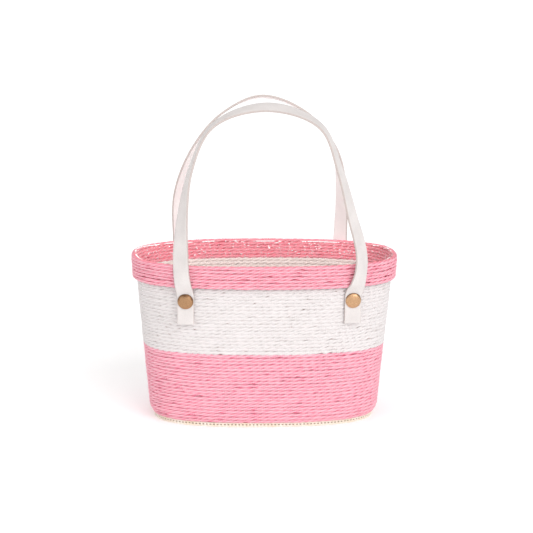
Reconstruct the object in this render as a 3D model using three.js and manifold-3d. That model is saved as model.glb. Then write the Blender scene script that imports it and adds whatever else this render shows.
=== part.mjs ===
// An oval carrying basket, coiled from twisted paper rope in three bands of colour, with a woven base, a
// clear film liner and two riveted strap handles. Millimetres, +Z up, +X to the right, the front faces -Y,
// and the origin is the centre of the underside of the base.
import * as THREE from 'three';
import { mergeVertices } from 'three/addons/utils/BufferGeometryUtils.js';
import Module from 'manifold-3d';

// ---------------------------------------------------------------------------------------------------------
// Driving dimensions

const HALF_WIDTH = 130; // outside of the rim band, along X
const HALF_DEPTH = 79; // outside of the rim band, along Y
const OVAL_POWER = 2.6; // 2 is an ellipse, more is squarer: |x/a|^n + |y/b|^n = 1
const RIM_HEIGHT = 161;
const BAND_BOTTOM = 139.5; // lower edge of the rim band
const BAND_WIDEST = 159; // height of the band's widest line
const BAND_LEAN = 1.1; // how much narrower the band is at its lower edge
const WHITE_BOTTOM = 74.2; // where the pink band ends and the white one starts
const BASE_EDGE = 4.4; // height of the woven edge of the base
const ROPE = 3.2; // thickness of one layer of rope
const GAP = 0.3; // clearance between touching pieces
const WALL_INSET_BOTTOM = 18; // how far inside the rim band the wall's line stands at the floor
const WALL_INSET_TOP = 3.3; // and at the rim
const CORNER_HEIGHT = 12; // below this the wall rounds in towards the base
const BASE_INSET = 22.2; // outside of the woven base edge
const COVER_THICKNESS = 0.9;
const BOARD_THICKNESS = 2.5;
const FILM = 0.5; // liner thickness as modelled
const LINER_TOP = 157;
const RIM_WIRE = 2.0; // diameter

const STRAP_WIDTH = 16;
const STRAP_THICKNESS = 2;
const STRAP_TAIL = 104.5; // height of the lower cut end of each strap
const RIVET_HEIGHT = 126;
const RIVET_HALF_SPACING = 79.8;
const FRONT_SHIFT = 1.4; // the front strap is riveted this far to the right of the middle
const HINGE_HEIGHT = 163.8; // the straps flex just above the rim
const HINGE_CLEARANCE_BELOW = 3.4;
const HINGE_CLEARANCE_ABOVE = 1.6;
const LEAVES_WALL = 133.6; // the strap lies flat on the wall up to here, under the rivet's cap
const MEETS_BAND = 140.6; // and flat on the rim band from here
const CAP_RADIUS = 7.5;
const CAP_HEIGHT = 2.7;
const INNER_CAP_RADIUS = 6;
const INNER_CAP_HEIGHT = 3;
const POST_RADIUS = 1.6;
const HOLE_RADIUS = 2.0;

const OVAL_SEGMENTS = 72;
const ROUND_SEGMENTS = 20;

// Each handle is a smooth loop through nine points: both legs at the rim and at each of these heights, and
// the peak. left and right are the legs' x, from the rim up. turns says how far the strap's face has turned
// away from facing straight out, in degrees, from the left leg at the rim, over the peak, to the right leg.
const LEG_HEIGHTS = [210, 250, 290];
const PEAK_DEPTH = 60; // how far the peak stands from the middle of the basket, along Y
const HANDLE_LEAN = 11; // how much further out the legs stand at the rim
const FRONT_HANDLE = {
  side: -1,
  shift: FRONT_SHIFT,
  left: [-81.5, -80, -73, -54],
  peak: { x: 1, z: 308.6 },
  right: [88, 78, 67, 50],
  turns: [22, 60, 80, 80, 72, 75, 70, 55, 24],
};
const REAR_HANDLE = {
  side: 1,
  shift: 0,
  left: [-82, -83, -71, -41],
  peak: { x: -3, z: 308 },
  right: [83, 82, 76, 47],
  turns: [22, 55, 75, 85, 80, 85, 75, 55, 22],
};

// ---------------------------------------------------------------------------------------------------------
// Materials

function material(color, roughness, metalness = 0, opacity = 1) {
  return new THREE.MeshStandardMaterial({ color, roughness, metalness, opacity, transparent: opacity < 1 });
}

const PINK_ROPE = material(0xf0a0b2, 0.85);
const WHITE_ROPE = material(0xf3ece8, 0.85);
const WOVEN_PAPER = material(0xf1e6cf, 0.9);
const PAPERBOARD = material(0xb79f7e, 0.9);
const CLEAR_FILM = material(0xf4f8fa, 0.08, 0, 0.25);
const WHITE_STRAP = material(0xefe8e7, 0.5);
const BRASS = material(0xc79c62, 0.35, 1);
const STEEL = material(0x9a9a9a, 0.4, 1);

// ---------------------------------------------------------------------------------------------------------
// Closed bodies

// A closed body from its vertices and outward or inward triangles: it is turned the right way out if needed.
function closedGeometry(vertices, triangles) {
  const a = new THREE.Vector3();
  const b = new THREE.Vector3();
  const c = new THREE.Vector3();
  let volume = 0;
  for (const [i, j, k] of triangles) {
    a.fromArray(vertices[i]);
    b.fromArray(vertices[j]);
    c.fromArray(vertices[k]);
    volume += a.dot(b.cross(c));
  }
  const faces = volume > 0 ? triangles : triangles.map(([i, j, k]) => [i, k, j]);
  const geometry = new THREE.BufferGeometry();
  geometry.setAttribute('position', new THREE.Float32BufferAttribute(vertices.flat(), 3));
  geometry.setIndex(faces.flat());
  return geometry;
}

// ---------------------------------------------------------------------------------------------------------
// The basket's plan shape

function signedPower(value, power) {
  return Math.sign(value) * Math.abs(value) ** power;
}

// A point of the oval that stands inset inside the rim band, at a given angle of the sweep.
function ovalPoint(inset, angle) {
  const x = (HALF_WIDTH - inset) * signedPower(Math.cos(angle), 2 / OVAL_POWER);
  const y = (HALF_DEPTH - inset) * signedPower(Math.sin(angle), 2 / OVAL_POWER);
  return [x, y];
}

// How far the outside of the wall stands inside the rim band, at a given height.
function wallInset(z) {
  const slope = (WALL_INSET_BOTTOM - WALL_INSET_TOP) / RIM_HEIGHT;
  return WALL_INSET_BOTTOM - slope * z;
}

// How far the outside of the rim band stands in from its widest line, above its rounded lower edge.
function bandInset(z) {
  return BAND_LEAN * Math.max(0, (BAND_WIDEST - z) / (BAND_WIDEST - BAND_BOTTOM));
}

// The place on the oval at x, on the front (side -1) or the rear (side 1), and its outward normal in plan.
function surfaceAt(inset, x, side) {
  const a = HALF_WIDTH - inset;
  const b = HALF_DEPTH - inset;
  const y = side * b * (1 - Math.abs(x / a) ** OVAL_POWER) ** (1 / OVAL_POWER);
  const nx = signedPower(x / a, OVAL_POWER - 1) / a;
  const ny = signedPower(y / b, OVAL_POWER - 1) / b;
  const length = Math.hypot(nx, ny);
  return { x, y, nx: nx / length, ny: ny / length };
}

// Sweeps a profile of [inset, z] points round the oval. 'centre' in place of an inset is a point on the axis,
// which starts and ends the profile of a body without a hole.
function ovalBody(profile) {
  const vertices = [];
  const rows = profile.map(([inset, z]) => {
    const first = vertices.length;
    if (inset === 'centre') {
      vertices.push([0, 0, z]);
      return { first, count: 1 };
    }
    for (let i = 0; i < OVAL_SEGMENTS; i += 1) {
      vertices.push([...ovalPoint(inset, (2 * Math.PI * i) / OVAL_SEGMENTS), z]);
    }
    return { first, count: OVAL_SEGMENTS };
  });
  const open = profile[0][0] === 'centre';
  const at = (row, i) => row.first + (row.count === 1 ? 0 : i % OVAL_SEGMENTS);
  const triangles = [];
  for (let j = 0; j < rows.length - (open ? 1 : 0); j += 1) {
    const low = rows[j];
    const high = rows[(j + 1) % rows.length];
    for (let i = 0; i < OVAL_SEGMENTS; i += 1) {
      if (low.count > 1) triangles.push([at(low, i), at(low, i + 1), at(high, i)]);
      if (high.count > 1) triangles.push([at(low, i + 1), at(high, i + 1), at(high, i)]);
    }
  }
  return closedGeometry(vertices, triangles);
}

// ---------------------------------------------------------------------------------------------------------
// Straps

// A strap from its stations, each with a centre, the direction across the strap and the way its face looks.
function strapBody(stations) {
  const vertices = [];
  for (const { centre, across, face } of stations) {
    for (const [u, v] of [[-1, -1], [1, -1], [1, 1], [-1, 1]]) {
      const corner = centre.clone();
      corner.addScaledVector(across, (u * STRAP_WIDTH) / 2);
      corner.addScaledVector(face, (v * STRAP_THICKNESS) / 2);
      vertices.push(corner.toArray());
    }
  }
  const triangles = [[0, 2, 1], [0, 3, 2]];
  for (let s = 0; s < stations.length - 1; s += 1) {
    for (let k = 0; k < 4; k += 1) {
      const a = 4 * s + k;
      const b = 4 * s + ((k + 1) % 4);
      triangles.push([a, b, b + 4], [a, b + 4, a + 4]);
    }
  }
  const last = 4 * (stations.length - 1);
  triangles.push([last, last + 1, last + 2], [last, last + 2, last + 3]);
  return closedGeometry(vertices, triangles);
}

function catmullRom(before, from, to, after, t) {
  const straight = 2 * from + (to - before) * t;
  const bend = (2 * before - 5 * from + 4 * to - after) * t ** 2;
  const twist = (3 * from - before - 3 * to + after) * t ** 3;
  return (straight + bend + twist) / 2;
}

// A handle's points as x, y, z and turn. The first and the last lie beside the rivets and only guide the
// curve.
function handlePoints({ side, shift, left, peak, right, turns }) {
  const guideHeight = 118;
  const guideDepth = 66;
  const guideTurn = 18;
  const heights = [HINGE_HEIGHT, ...LEG_HEIGHTS, peak.z, ...LEG_HEIGHTS.toReversed(), HINGE_HEIGHT];
  const loop = [...left, peak.x, ...right.toReversed()].map((x, i) => {
    const drop = (peak.z - heights[i]) / (peak.z - HINGE_HEIGHT);
    return [x, side * (PEAK_DEPTH + HANDLE_LEAN * drop), heights[i], turns[i]];
  });
  const first = [shift - RIVET_HALF_SPACING, side * guideDepth, guideHeight, guideTurn];
  const last = [shift + RIVET_HALF_SPACING, side * guideDepth, guideHeight, guideTurn];
  return [first, ...loop, last];
}

// The loop's x, y, z and turn at place s, which counts its points.
function loopAt(points, s) {
  const i = Math.min(Math.max(Math.floor(s), 1), points.length - 3);
  return [0, 1, 2, 3].map((k) => {
    return catmullRom(points[i - 1][k], points[i][k], points[i + 1][k], points[i + 2][k], s - i);
  });
}

// The free loop of a handle, from just above one leg's flexure to just above the other's.
function strapLoop(handle) {
  const steps = 44;
  const nearby = 0.02;
  const points = handlePoints(handle);
  const start = 1 + HINGE_CLEARANCE_ABOVE / (LEG_HEIGHTS[0] - HINGE_HEIGHT);
  const stations = [];
  for (let n = 0; n <= steps; n += 1) {
    const s = start + ((points.length - 1 - 2 * start) * n) / steps;
    const [x, y, z, turn] = loopAt(points, s);
    const ahead = new THREE.Vector3(...loopAt(points, s + nearby));
    const behind = new THREE.Vector3(...loopAt(points, s - nearby));
    const tangent = ahead.sub(behind).normalize();
    const sideways = new THREE.Vector3(0, 1, 0).addScaledVector(tangent, -tangent.y).normalize();
    const across = new THREE.Vector3().crossVectors(sideways, tangent);
    const angle = THREE.MathUtils.degToRad(turn);
    across.multiplyScalar(Math.cos(angle)).addScaledVector(sideways, handle.side * Math.sin(angle));
    const face = new THREE.Vector3().crossVectors(tangent, across);
    stations.push({ centre: new THREE.Vector3(x, y, z), across, face });
  }
  return strapBody(stations);
}

// Where the strap's inner face touches the basket at a height: the wall below, the rim band above.
function legInset(z) {
  if (z <= LEAVES_WALL) return wallInset(z);
  if (z >= MEETS_BAND) return bandInset(z);
  const part = (z - LEAVES_WALL) / (MEETS_BAND - LEAVES_WALL);
  return wallInset(LEAVES_WALL) + (bandInset(MEETS_BAND) - wallInset(LEAVES_WALL)) * part;
}

// The fixed end of a strap: it lies flat on the wall under the rivet, climbs onto the rim band and stops
// below the flexure. rivetX and rimX are its x at the rivet and at the rim.
function strapEnd(rivetX, rimX, side) {
  const heights = [STRAP_TAIL, 115, RIVET_HEIGHT, 130, LEAVES_WALL, 136, 138.3, MEETS_BAND, 146, 153];
  heights.push(HINGE_HEIGHT - HINGE_CLEARANCE_BELOW);
  const centres = heights.map((z) => {
    const climb = Math.max(0, (z - RIVET_HEIGHT) / (HINGE_HEIGHT - RIVET_HEIGHT));
    const place = surfaceAt(legInset(z), rivetX + (rimX - rivetX) * climb, side);
    const lift = 2 * GAP + STRAP_THICKNESS / 2;
    return {
      centre: new THREE.Vector3(place.x + lift * place.nx, place.y + lift * place.ny, z),
      outward: new THREE.Vector3(place.nx, place.ny, 0),
    };
  });
  const stations = centres.map(({ centre, outward }, i) => {
    const next = centres[Math.min(i + 1, centres.length - 1)].centre;
    const previous = centres[Math.max(i - 1, 0)].centre;
    const tangent = next.clone().sub(previous).normalize();
    const across = new THREE.Vector3().crossVectors(tangent, outward).normalize();
    const face = new THREE.Vector3().crossVectors(across, tangent);
    return { centre, across, face };
  });
  return strapBody(stations);
}

// ---------------------------------------------------------------------------------------------------------
// Rivets

// Turns a lathed body from its own +Y axis to the rivet's axis, and puts its origin on the wall's outer face.
function atRivet(geometry, rivet) {
  const turn = new THREE.Quaternion().setFromUnitVectors(new THREE.Vector3(0, 1, 0), rivet.axis);
  return geometry.applyQuaternion(turn).translate(rivet.x, rivet.y, RIVET_HEIGHT);
}

function lathe(profile, segments = ROUND_SEGMENTS) {
  return new THREE.LatheGeometry(profile.map(([r, h]) => new THREE.Vector2(r, h)), segments);
}

function rivetAt(x, side) {
  const place = surfaceAt(wallInset(RIVET_HEIGHT), x, side);
  const slope = (WALL_INSET_BOTTOM - WALL_INSET_TOP) / RIM_HEIGHT;
  const axis = new THREE.Vector3(place.nx, place.ny, -slope).normalize();
  return { x: place.x, y: place.y, axis };
}

// Heights along the rivet's axis, from the wall's outer face.
const CAP_SEAT = STRAP_THICKNESS + 3 * GAP;
const INNER_SEAT = -(ROPE + FILM + 3.2 * GAP);

// Domed cap outside with its post, which runs through strap, wall and liner.
function rivetCap(rivet) {
  const postEnd = INNER_SEAT - 1.5;
  const profile = [
    [0, postEnd],
    [POST_RADIUS, postEnd],
    [POST_RADIUS, CAP_SEAT],
    [CAP_RADIUS - 0.4, CAP_SEAT],
    [CAP_RADIUS, CAP_SEAT + 0.6],
    [CAP_RADIUS - 0.3, CAP_SEAT + 1.3],
    [CAP_RADIUS * 0.75, CAP_SEAT + CAP_HEIGHT * 0.82],
    [CAP_RADIUS * 0.4, CAP_SEAT + CAP_HEIGHT * 0.96],
    [0, CAP_SEAT + CAP_HEIGHT],
  ];
  return atRivet(lathe(profile), rivet);
}

// Smaller cap inside, pressed over the end of the post.
function innerCap(rivet) {
  const socketEnd = INNER_SEAT - 1.8;
  const profile = [
    [0, INNER_SEAT - INNER_CAP_HEIGHT],
    [INNER_CAP_RADIUS * 0.6, INNER_SEAT - INNER_CAP_HEIGHT * 0.9],
    [INNER_CAP_RADIUS, INNER_SEAT - 1.2],
    [INNER_CAP_RADIUS, INNER_SEAT],
    [HOLE_RADIUS, INNER_SEAT],
    [HOLE_RADIUS, socketEnd],
    [0, socketEnd],
  ];
  return atRivet(lathe(profile), rivet);
}

// ---------------------------------------------------------------------------------------------------------
// Holes for the rivet posts

const wasm = await Module();
wasm.setup();

function toSolid(geometry) {
  const bare = geometry.clone();
  bare.deleteAttribute('normal');
  bare.deleteAttribute('uv');
  const merged = mergeVertices(bare, 1e-3);
  const triVerts = [];
  const index = merged.index.array;
  for (let i = 0; i < index.length; i += 3) {
    const [a, b, c] = [index[i], index[i + 1], index[i + 2]];
    if (a !== b && b !== c && c !== a) triVerts.push(a, b, c);
  }
  const mesh = new wasm.Mesh({
    numProp: 3,
    vertProperties: new Float32Array(merged.attributes.position.array),
    triVerts: new Uint32Array(triVerts),
  });
  return new wasm.Manifold(mesh);
}

function toGeometry(solid) {
  const mesh = solid.getMesh();
  const geometry = new THREE.BufferGeometry();
  geometry.setAttribute('position', new THREE.Float32BufferAttribute(mesh.vertProperties, 3));
  geometry.setIndex(Array.from(mesh.triVerts));
  return geometry;
}

// Drills a round hole along each rivet's axis.
function drilled(geometry, rivets) {
  const reach = 14;
  let solid = toSolid(geometry);
  for (const rivet of rivets) {
    const drill = lathe([[0, -reach], [HOLE_RADIUS, -reach], [HOLE_RADIUS, reach], [0, reach]], 12);
    solid = solid.subtract(toSolid(atRivet(drill, rivet)));
  }
  return toGeometry(solid);
}

// ---------------------------------------------------------------------------------------------------------
// The basket's layers, as profiles of [inset, z] from the outside in

// A stretch of the wall between two heights, one rope thick.
function wallProfile(bottom, top) {
  return [
    [wallInset(bottom), bottom],
    [wallInset(top), top],
    [wallInset(top) + ROPE, top],
    [wallInset(bottom) + ROPE, bottom],
  ];
}

// The wall's lowest stretch, which rounds in towards the base: outer line, as [extra inset, z].
const CORNER = [[3.5, BASE_EDGE + GAP], [1.2, 8], [0, CORNER_HEIGHT]];

function cornerInset([extra, z]) {
  return [wallInset(z) + extra, z];
}

function shifted([inset, z], by) {
  return [inset + by, z];
}

const cornerLine = CORNER.map(cornerInset);
const pinkTop = WHITE_BOTTOM - GAP;
const lowerPinkProfile = [
  ...cornerLine,
  [wallInset(pinkTop), pinkTop],
  [wallInset(pinkTop) + ROPE, pinkTop],
  ...cornerLine.map((point) => shifted(point, ROPE)).reverse(),
];

// The rim band's inside stands just clear of the wall, with a groove along its lower edge for the rim wire.
const grooveTop = BAND_BOTTOM + RIM_WIRE + 2 * GAP;
const grooveDepth = RIM_WIRE + GAP;
const rimBandProfile = [
  [bandInset(BAND_BOTTOM) + 1.2, BAND_BOTTOM],
  [bandInset(BAND_BOTTOM + 1.6), BAND_BOTTOM + 1.6],
  [0, BAND_WIDEST],
  [0.7, RIM_HEIGHT],
  [wallInset(RIM_HEIGHT) - GAP, RIM_HEIGHT],
  [wallInset(grooveTop) - GAP, grooveTop],
  [wallInset(grooveTop) - GAP - grooveDepth, grooveTop],
  [wallInset(grooveTop) - GAP - grooveDepth + 0.2, BAND_BOTTOM],
];

function rimWireProfile() {
  const middle = [wallInset(BAND_BOTTOM) - GAP - RIM_WIRE / 2, BAND_BOTTOM + GAP + RIM_WIRE / 2];
  const sides = 8;
  return Array.from({ length: sides }, (_, i) => {
    const angle = (2 * Math.PI * i) / sides;
    return [middle[0] + (RIM_WIRE / 2) * Math.cos(angle), middle[1] + (RIM_WIRE / 2) * Math.sin(angle)];
  });
}

const baseCoverProfile = [
  ['centre', 0],
  [BASE_INSET + 1.2, 0],
  [BASE_INSET, 1.2],
  [BASE_INSET, BASE_EDGE],
  [BASE_INSET + COVER_THICKNESS, BASE_EDGE],
  [BASE_INSET + COVER_THICKNESS, COVER_THICKNESS],
  ['centre', COVER_THICKNESS],
];

const boardBottom = COVER_THICKNESS + GAP;
const boardTop = boardBottom + BOARD_THICKNESS;
const boardInset = BASE_INSET + COVER_THICKNESS + GAP;
const baseBoardProfile = [
  ['centre', boardBottom],
  [boardInset, boardBottom],
  [boardInset, boardTop],
  ['centre', boardTop],
];

// The film liner is a pouch that stands just inside the wall and rests on the board.
const filmOuter = [
  [BASE_INSET + 4, boardTop + GAP],
  ...cornerLine.map((point) => shifted(point, ROPE + GAP)),
  [wallInset(LINER_TOP) + ROPE + GAP, LINER_TOP],
];
const linerProfile = [
  ['centre', boardTop + GAP],
  ...filmOuter,
  ...filmOuter.map((point) => shifted(point, FILM)).slice(1).reverse(),
  [BASE_INSET + 4 + FILM, boardTop + GAP + FILM],
  ['centre', boardTop + GAP + FILM],
];

// ---------------------------------------------------------------------------------------------------------
// Assembly

const basket = new THREE.Group();

function addMesh(name, geometry, finish) {
  const mesh = new THREE.Mesh(geometry, finish);
  mesh.name = name;
  basket.add(mesh);
}

function strapEndsOf(word, { side, shift, left, right }) {
  return [
    { name: `${word}_left`, rivetX: shift - RIVET_HALF_SPACING, rimX: left[0], side },
    { name: `${word}_right`, rivetX: shift + RIVET_HALF_SPACING, rimX: right[0], side },
  ];
}

const ENDS = [...strapEndsOf('front', FRONT_HANDLE), ...strapEndsOf('rear', REAR_HANDLE)];
const rivets = ENDS.map(({ rivetX, side }) => rivetAt(rivetX, side));

addMesh('base_board', ovalBody(baseBoardProfile), PAPERBOARD);
addMesh('base_cover', ovalBody(baseCoverProfile), WOVEN_PAPER);
addMesh('lower_pink_coil', ovalBody(lowerPinkProfile), PINK_ROPE);
addMesh('white_coil', drilled(ovalBody(wallProfile(WHITE_BOTTOM, BAND_BOTTOM - GAP)), rivets), WHITE_ROPE);
addMesh('rim_inner_coil', ovalBody(wallProfile(BAND_BOTTOM, RIM_HEIGHT)), PINK_ROPE);
addMesh('rim_band_coil', ovalBody(rimBandProfile), PINK_ROPE);
addMesh('rim_wire', ovalBody(rimWireProfile()), STEEL);
addMesh('liner', drilled(ovalBody(linerProfile), rivets), CLEAR_FILM);

addMesh('front_strap_loop', strapLoop(FRONT_HANDLE), WHITE_STRAP);
addMesh('rear_strap_loop', strapLoop(REAR_HANDLE), WHITE_STRAP);
ENDS.forEach(({ name, rivetX, rimX, side }, i) => {
  addMesh(`${name}_strap_end`, drilled(strapEnd(rivetX, rimX, side), [rivets[i]]), WHITE_STRAP);
  addMesh(`${name}_rivet`, rivetCap(rivets[i]), BRASS);
  addMesh(`${name}_inner_cap`, innerCap(rivets[i]), BRASS);
});

export default basket;
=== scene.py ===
"""Looks of an oval basket coiled from twisted paper rope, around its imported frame.

Lengths are in metres. The basket stands on z = 0, its long side lies along X and its front faces -Y.
"""

import math

import bpy
import numpy as np
from mathutils import Matrix, Vector


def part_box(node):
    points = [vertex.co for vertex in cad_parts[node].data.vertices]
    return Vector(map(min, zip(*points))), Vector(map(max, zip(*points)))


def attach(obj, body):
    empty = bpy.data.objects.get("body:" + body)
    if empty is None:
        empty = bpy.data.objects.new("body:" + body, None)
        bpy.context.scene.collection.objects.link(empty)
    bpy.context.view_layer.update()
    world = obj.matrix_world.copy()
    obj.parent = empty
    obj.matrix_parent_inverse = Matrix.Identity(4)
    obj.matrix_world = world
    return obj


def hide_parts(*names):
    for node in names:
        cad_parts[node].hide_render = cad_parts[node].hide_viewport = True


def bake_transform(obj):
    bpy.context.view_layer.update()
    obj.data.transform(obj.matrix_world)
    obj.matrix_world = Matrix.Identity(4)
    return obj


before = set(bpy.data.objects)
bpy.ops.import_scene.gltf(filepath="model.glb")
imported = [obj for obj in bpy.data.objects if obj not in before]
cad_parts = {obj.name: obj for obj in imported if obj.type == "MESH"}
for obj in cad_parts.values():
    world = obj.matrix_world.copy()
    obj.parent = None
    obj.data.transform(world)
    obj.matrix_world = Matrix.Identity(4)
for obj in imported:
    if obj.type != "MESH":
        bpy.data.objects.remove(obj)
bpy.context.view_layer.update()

MM = 0.001

# ------------------------------------------------------------------------------
# Driving sizes, from the frame where the frame holds them


def low(node):
    """The corner of a CAD node's box with the least x, y and z."""
    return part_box(node)[0]


def high(node):
    """The corner with the greatest."""
    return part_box(node)[1]


HALF_WIDTH = high("rim_band_coil").x
HALF_DEPTH = high("rim_band_coil").y
RIM_HEIGHT = high("rim_band_coil").z
BAND_BOTTOM = low("rim_band_coil").z
WHITE_BOTTOM = low("white_coil").z
COIL_BOTTOM = low("lower_pink_coil").z
BASE_EDGE = high("base_cover").z
BASE_INSET = HALF_WIDTH - high("base_cover").x
STRAP_TAIL = low("front_left_strap_end").z
OVAL_POWER = 2.6  # 2 is an ellipse, more is squarer

WALL_TOP_INSET = HALF_WIDTH - high("rim_inner_coil").x
PINK_TOP_INSET = HALF_WIDTH - high("lower_pink_coil").x
WALL_LEAN = (PINK_TOP_INSET - WALL_TOP_INSET) / (RIM_HEIGHT - high("lower_pink_coil").z)
CORNER_HEIGHTS = [COIL_BOTTOM, 8.0 * MM, 12.0 * MM]  # below the last one the wall rounds in to the base
CORNER_INSETS = [3.5 * MM, 1.2 * MM, 0.0]
BAND_LEAN = 1.1 * MM  # how much narrower the rim band is at its lower edge

INNER_PINK_BOTTOM = BAND_BOTTOM + 2.6 * MM  # the band outside hides the topmost white row
RIM_LEAN = 1.9 * MM  # how far the rim's inner layer leans out into the band
BAND_SHOULDER = 2 * MM  # above this distance from the top the band stands upright

PINK_ROWS = 21
WHITE_ROWS = 20
INNER_RIM_ROWS = 6
BAND_ROWS = 7
ROPE = 3.2 * MM
ROPE_LAY = 21.6 * MM  # one full twist of the three strands
STRAND_VALLEY = 0.68  # radius between two strands, as a share of the rope's own
ROPE_SIDES = 12
STEPS_PER_LAY = 10
PARTINGS = 10  # short gaps under each row
PARTING_REACH = 4.0 * MM
FIBRE_SHIFT = 0.37  # between the rows' places in the fibres' noise, so that no two rows look alike

STRAP_WIDTH = 16.0 * MM
STRAP_THICKNESS = 2.0 * MM
STRAP_STEP = 1.6 * MM  # between stations along a strap
STRAP_CLEARANCE = 0.5 * MM  # under a strap that lies on the rope
RIVET_HEIGHT = 127.0 * MM
RIVET_HALF_SPACING = 79.0 * MM
FRONT_SHIFT = 1.7 * MM  # the front strap is riveted this far to the right of the middle
HINGE_HEIGHT = 163.8 * MM
FRONT_TAIL_TURN = 6.0  # degrees; the front straps lie flatter than the wall behind them
FRONT_TAIL_LIFT = 1.7 * MM  # and stand this far off it
CAP_RADIUS = 7.5 * MM

# Each handle is a smooth loop through nine points: both legs at the rim and at each of these heights, and
# the peak. left and right are the legs' x in millimetres, from the rim up. turns says how far the face of
# the strap has turned away from facing straight out, in degrees, from the left leg at the rim, over the
# peak, to the right one.
LEG_HEIGHTS = [210 * MM, 250 * MM, 290 * MM]
PEAK_DEPTH = 60 * MM  # how far the peak stands from the middle of the basket, along Y
HANDLE_LEAN = 12 * MM  # how much further out the legs stand at the rim
FRONT_HANDLE = {
    "side": -1,
    "left": [-82, -80, -73, -54],
    "peak": (1.5, 309),
    "right": [88, 78, 67, 50],
    "turns": [27, 59, 81, 85, 67, 76, 68, 56, 44],
}
REAR_HANDLE = {
    "side": 1,
    "left": [-82, -83, -71, -41],
    "peak": (-3, 308),
    "right": [82, 82, 76, 47],
    "turns": [32, 54, 74, 84, 79, 83, 74, 55, 41],
}
LEAVES_WALL = 131 * MM  # from here a strap climbs over the rim band
CLIMB_HEIGHTS = [143 * MM, 152 * MM]

# ------------------------------------------------------------------------------
# Camera and light

CAMERA_DISTANCE = 1.65
CAMERA_ELEVATION = 0.1918  # this and the next two are in radians
CAMERA_TURN = 0.0576  # to the left of the front
CAMERA_ROLL = 0.0069
CAMERA_LENS = 113.54
AIM_RIGHT = 2.4 * MM
AIM_HEIGHT = 146.9 * MM


def make_camera():
    """Looks down a little at the front, from slightly to its left."""
    sight = Vector((
        math.sin(CAMERA_TURN) * math.cos(CAMERA_ELEVATION),
        math.cos(CAMERA_TURN) * math.cos(CAMERA_ELEVATION),
        -math.sin(CAMERA_ELEVATION),
    ))
    right = Vector((math.cos(CAMERA_TURN), -math.sin(CAMERA_TURN), 0))
    up = right.cross(sight)
    aim = right * AIM_RIGHT + Vector((0, 0, AIM_HEIGHT))
    turned = Matrix((right, up, -sight)).transposed().to_4x4()
    camera = bpy.data.objects.new("camera", bpy.data.cameras.new("camera"))
    bpy.context.scene.collection.objects.link(camera)
    place = Matrix.Translation(aim - sight * CAMERA_DISTANCE)
    camera.matrix_world = place @ turned @ Matrix.Rotation(CAMERA_ROLL, 4, "Z")
    camera.data.lens = CAMERA_LENS
    camera.data.clip_end = 100
    bpy.context.scene.camera = camera


def make_sun(name, toward, strength, softness):
    """An even light that stands in the direction toward. softness is its apparent size in degrees."""
    data = bpy.data.lights.new(name, "SUN")
    data.energy = strength
    data.angle = math.radians(softness)
    light = bpy.data.objects.new(name, data)
    light.rotation_mode = "QUATERNION"
    light.rotation_quaternion = Vector(toward).to_track_quat("Z", "Y")
    bpy.context.scene.collection.objects.link(light)


def make_light():
    """Soft light from all round, a key light from the front right and a weak fill from the left."""
    world = bpy.data.worlds.new("studio")
    bpy.context.scene.world = world
    world.use_nodes = True
    backdrop = world.node_tree.nodes["Background"]
    backdrop.inputs["Color"].default_value = (1.0, 0.995, 0.99, 1)
    backdrop.inputs["Strength"].default_value = 0.76
    make_sun("key", toward=(0.42, -0.88, 0.56), strength=1.5, softness=45)
    make_sun("fill", toward=(-0.8, -0.5, 0.45), strength=0.38, softness=60)
    bpy.context.scene.view_settings.view_transform = "Standard"


# ------------------------------------------------------------------------------
# Materials


def srgb(red, green, blue):
    """A colour given as it looks on a screen, 0 to 255, as the linear colour that shaders take."""
    linear = []
    for value in (red, green, blue):
        share = value / 255
        linear.append(share / 12.92 if share <= 0.04045 else ((share + 0.055) / 1.055) ** 2.4)
    return (*linear, 1.0)


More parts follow.
